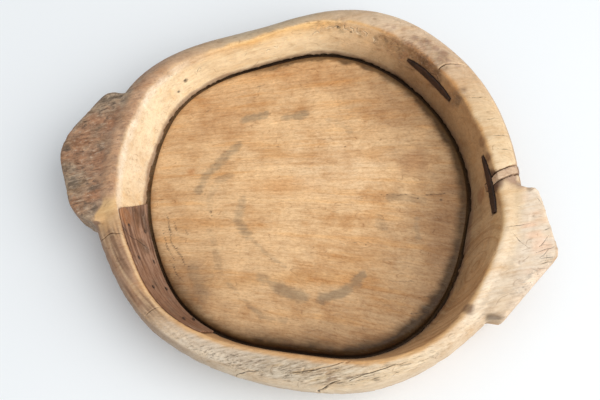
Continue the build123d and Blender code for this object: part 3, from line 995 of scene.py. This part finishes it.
def make_floor():
    board = remeshed("floor_plank", "floor_board", BOARD_VOXEL)
    board.smooth(4)
    theta = angle_of(board.co)
    lift = by_angle(theta, BEVEL_LIFT) * ramp(board.co[:, 2], 20, 22.5) * ramp(board.normals[:, 2], 0.2, 0.5)
    board.co[:, 2] += lift * (BOARD_TOP - board.co[:, 2])
    board.write()
    co = board.co
    height = co[:, 2]
    radius = reach_of(co)
    inset = edge_by_angle(board, 25.5, True)(theta) - radius
    top = ramp(board.normals[:, 2], 0.3, 0.7) * ramp(height, 17.5, 18.5)
    grain = turned(co, FLOOR_GRAIN_ANGLE)
    wobble = layered(co, 0.07, 64)
    offset = cuts(board, top, 30, 0.35, 0.006, 61)
    offset += 0.25 * layered(grain, (0.008, 0.05, 0.05), 62) * top - 0.15
    check = most(*[
        crack(co, line, 3, 1.2, 63 + number, 0.4) * top for number, line in enumerate(FLOOR_CHECKS)
    ])
    offset -= 0.5 * check
    board.push(offset)

    zones = []
    for x, y, length, width, angle, strength, colour in FLOOR_ZONES:
        local = turned(co - (x, y, 0), angle)
        inside = 1 - np.hypot(local[:, 0] / length, local[:, 1] / width) + 0.35 * wobble
        zones.append((colour, strength * ramp(inside, -0.1, 0.8)))
    rough = 0.55 * layered(co, 0.13, 66, 4)
    # Painted shade, growing from the middle out to the wall.
    painted_floor_shade = by_angle(theta, FLOOR_SHADE) * ramp(radius + 30 * wobble, 60, 190)
    stain = most(*[
        strength * ramp(1 - line_distance(co, line)[0] / width + rough, -0.15, 0.75)
        for line, width, strength in FLOOR_STAINS
    ])
    # Dirt and painted shade along the wall.
    reach = by_angle(theta, WALL_DIRT_AND_SHADE_REACH)
    covered = reach - inset + 5 * wobble + 2.5 * layered(grain, (0.03, 0.22, 0.1), 67)
    floor_dirt_and_shade = by_angle(theta, WALL_DIRT_AND_SHADE) * unit(by_angle(theta, WALL_DIRT_AND_SHADE_GAIN) * covered / reach) ** 1.5
    crevice_shade = by_angle(theta, CREVICE_SHADE)
    # Over the board's own zones: painted shade towards the wall, dirt and painted shade along it, and
    # painted shade on the board's edge in the crevice.
    tint = painted(board.all_over(228, 190, 144), zones + [
        ((122, 88, 58), painted_floor_shade), ((74, 52, 22), unit(floor_dirt_and_shade)), ((92, 66, 44), (1 - top) * crevice_shade),
    ])
    scratches = [
        darkness * crack(co, line, 3.7, 1.5, 131 + number, 0.5) * top
        for number, (line, darkness) in enumerate(FLOOR_SCRATCHES)
    ]
    specks = [
        0.6 * ramp(1 - np.hypot(co[:, 0] - x, co[:, 1] - y) / size + 0.4 * rough, 0, 0.6) * top
        for x, y, size in FLOOR_SPOTS
    ]
    # Painted shade deep in the crevice, on the board's edge.
    sunk = crevice_shade * 0.6 * unit((23.4 + 3 * wobble - height) / 4)
    board.paint(
        tint=tint, dark=most(0.55 * check, *scratches, *specks, sunk), stain=stain * top, ringed=1,
        grey=0.12 * top * ramp(wobble, -0.2, 0.4), mottle=0,
    )
    hand_over(board, FLOOR_WOOD, "floor_board", "floor_board")


# ---------------------------------------------------------------- repairs and fixings

PEGS = range(1, 13)
TACKS = range(1, 9)
PATCH_REACH = 205                          # mm from the hollow's axis


def make_patch():
    patch = remeshed("nailed_patch", "wall_patch", 0.8)
    patch.smooth(2)
    co = patch.co
    along = np.stack((math.radians(1) * angle_of(co) * PATCH_REACH, reach_of(co), co[:, 2]), axis=1)
    wobble = layered(along, (0.06, 0.06, 0.12), 73)
    offset = 0.35 * layered(along, (0.02, 0.05, 0.5), 71) - 0.25
    break_line = crack(co, [(-182, -120), (-168, -124), (-155, -124)], 2.4, 2, 74)
    offset -= 0.5 * break_line
    lower = ramp(33 - co[:, 2], 0, 4)
    co[:, 2] += lower * (1.6 * layered(along, (0.05, 0, 0), 75) + 0.8)
    patch.push(offset)

    tint = painted(patch.all_over(168, 136, 116), [
        ((106, 76, 60), 0.9 * ramp(layered(along, (0.02, 0.04, 0.3), 72), -0.1, 0.4)),
        ((184, 128, 82), 0.6 * spot(co, (-186, -104, 68), 16, 0.5 * wobble)),
        ((96, 74, 62), 0.22 * spot(co, (-180, -88, 48), 34, 0.8 * wobble)),
        ((88, 64, 50), 0.6 * spot(co, (-166, -92, 34), 22, 0.8 * wobble)),
        ((96, 72, 56), 0.6 * spot(co, (-158, -124, 48), 14, 0.8 * wobble)),
        ((136, 100, 76), 0.7 * ramp(-co[:, 1], 130, 175)),
    ])
    rust = patch.closeness([f"patch_tack_{number}" for number in TACKS], lambda points: points[:, 2] > 0, 3)
    patch.paint(
        tint=tint, dark=most(0.4 * rust, 0.7 * break_line),
        grey=0.25 * ramp(wobble, -0.1, 0.5), mottle=0.45 * ramp(wobble, -0.1, 0.4),
    )
    patch.paint_place("lengthwise", along * MM)
    hand_over(patch, PATCH_WOOD, "patch_board", "wall_patch")


def make_slip():
    slip = remeshed("rim_slip", "rim_filler_slip", 0.9)
    slip.smooth(3)
    co = slip.co
    wobble = layered(co, 0.12, 82)
    slip.push(0.5 * layered(co, 0.2, 81) - 0.6)
    low = ramp(70 - co[:, 2], 0, 4)
    sides = line_distance(co, [(198, 27), (246, 68)])[0]
    tint = painted(slip.all_over(212, 182, 152), [
        ((172, 140, 118), ramp(wobble, -0.1, 0.5)), ((146, 110, 80), low),
    ])
    dark = 0.42 * ramp(sides + 1.8 * wobble, 3.6, 5) * (1 - low)
    slip.paint(tint=tint, dark=dark, grey=0.3, mottle=0.15)
    hand_over(slip, BLOCK_WOOD, "filler_slip", "rim_filler_slip")


def make_cramp(node, name, seed):
    cramp = remeshed(name, node, 0.6)
    cramp.smooth(2)
    cramp.push(cuts(cramp, np.ones(len(cramp.co)), 7, 0.35, 0.03, seed) - 0.05)
    hand_over(cramp, FORGED_IRON, "forged_iron", node)


def make_peg(number):
    node = f"floor_peg_{number:02d}"
    peg = remeshed(f"treenail_{number:02d}", node, 0.6)
    peg.smooth(1)
    co = peg.co
    angle = math.degrees(math.atan2(co[:, 1].mean(), co[:, 0].mean()))
    out = turned(co, angle)[:, 0]
    end = ramp(out, out.max() - 2, out.max() - 1)
    way = np.array((math.cos(math.radians(angle)), math.sin(math.radians(angle)), 0))
    peg.co = co + end[:, None] * 0.9 * way
    peg.write()
    peg.push(0.2 * noise(co, 0.5, number) - 0.1)
    tone = 0.85 + 0.03 * (number * 5 % 7)
    peg.paint(tint=peg.all_over(150, 112, 78) * tone, dark=0, grey=0.4, mottle=0.1)
    hand_over(peg, PEG_WOOD, "treenail", node)


def make_tack(number):
    tack = remeshed(f"tack_{number}", f"patch_tack_{number}", 0.3)
    tack.smooth(2)
    tack.push(0.12 * noise(tack.co, 0.7, 90 + number) - 0.05)
    hand_over(tack, TACK_IRON, "tack_iron", f"patch_tack_{number}")


# ---------------------------------------------------------------- camera, light and table

LIGHT_AZIMUTH = math.radians(-25)          # seen from the camera's right
LIGHT_ELEVATION = math.radians(46)
LIGHT_DISTANCE = 4
LIGHT_SIZE = 4.4
LIGHT_POWER = 151


def make_studio():
    scene = bpy.context.scene
    scene.view_settings.view_transform = "Standard"

    camera = bpy.data.objects.new("Camera", bpy.data.cameras.new("Camera"))
    scene.collection.objects.link(camera)
    camera.data.lens = CAMERA_LENS
    level = math.cos(CAMERA_ELEVATION)
    way = (level * math.sin(CAMERA_AZIMUTH), -level * math.cos(CAMERA_AZIMUTH), math.sin(CAMERA_ELEVATION))
    camera.location = CAMERA_TARGET + CAMERA_DISTANCE * np.array(way)
    camera.rotation_euler = (math.pi / 2 - CAMERA_ELEVATION, 0, CAMERA_AZIMUTH)
    scene.camera = camera

    world = bpy.data.worlds.new("Room")
    world.use_nodes = True
    background = world.node_tree.nodes["Background"]
    background.inputs["Color"].default_value = (0.94, 0.97, 1, 1)
    background.inputs["Strength"].default_value = 0.6
    scene.world = world

    lamp = bpy.data.lights.new("Window", "AREA")
    lamp.shape = "SQUARE"
    lamp.size = LIGHT_SIZE
    lamp.energy = LIGHT_POWER
    lamp.color = (1, 0.985, 0.96)
    key = bpy.data.objects.new("Window", lamp)
    scene.collection.objects.link(key)
    azimuth = CAMERA_AZIMUTH + LIGHT_AZIMUTH
    level = LIGHT_DISTANCE * math.cos(LIGHT_ELEVATION)
    height = LIGHT_DISTANCE * math.sin(LIGHT_ELEVATION)
    key.location = (level * math.cos(azimuth), level * math.sin(azimuth), height)
    key.rotation_euler = (0, math.pi / 2 - LIGHT_ELEVATION, azimuth)

    bpy.ops.mesh.primitive_plane_add(size=24)
    table = bpy.context.object
    table.name = "Table"
    nodes = Nodes("table_top")
    place = nodes.add("TexCoord").outputs["Object"]
    fleck = nodes.noise(place, 3, 2)
    colour = nodes.mix(fleck, (0.87, 0.9, 0.92), (0.9, 0.92, 0.935))
    nodes.set(nodes.shader.inputs["Base Color"], colour)
    nodes.shader.inputs["Roughness"].default_value = 0.5
    table.data.materials.append(nodes.material)


make_studio()
BLOCK_WOOD = wood(
    "block_wood", GRAIN_ANGLE, pith=(-0.146, 0.05), rings=0.6, ring_width=0.0045, blotches=0.4,
    fibres=0.4, scratches=0.45, grit=0.25, relief=0.55,
)
FLOOR_WOOD = wood(
    "floor_wood", FLOOR_GRAIN_ANGLE, bend=0.2, fan=1.1, wave=0.012, pith=(-0.6, 0), clouds=0.9, streaks=0.6,
    fibres=0.6, rings=0.12, ring_width=0.007, blotches=0.75, honey=0.6, scratches=0.45, grit=0.6,
    streak_size=(11, 260), relief=0.45,
)
PATCH_WOOD = wood(
    "patch_wood", 0, wave=0.002, clouds=0.8, streaks=1, fibres=1, rings=0, blotches=0.6,
    rough=(0.6, 0.8), relief=0.9, place_name="lengthwise",
)
PEG_WOOD = wood("peg_wood", 0, wave=0.004, fibres=0.7, rough=(0.6, 0.8))
FORGED_IRON = iron("cramp_iron", (0.018, 0.009, 0.006), (0.075, 0.034, 0.019))
TACK_IRON = iron("nail_iron", (0.055, 0.034, 0.024), (0.16, 0.095, 0.065))

make_body()
make_floor()
make_patch()
make_slip()
for seed, side in enumerate(("upper", "lower")):
    make_cramp(f"iron_cramp_{side}", f"cramp_{side}", 100 + seed)
for number in PEGS:
    make_peg(number)
for number in TACKS:
    make_tack(number)
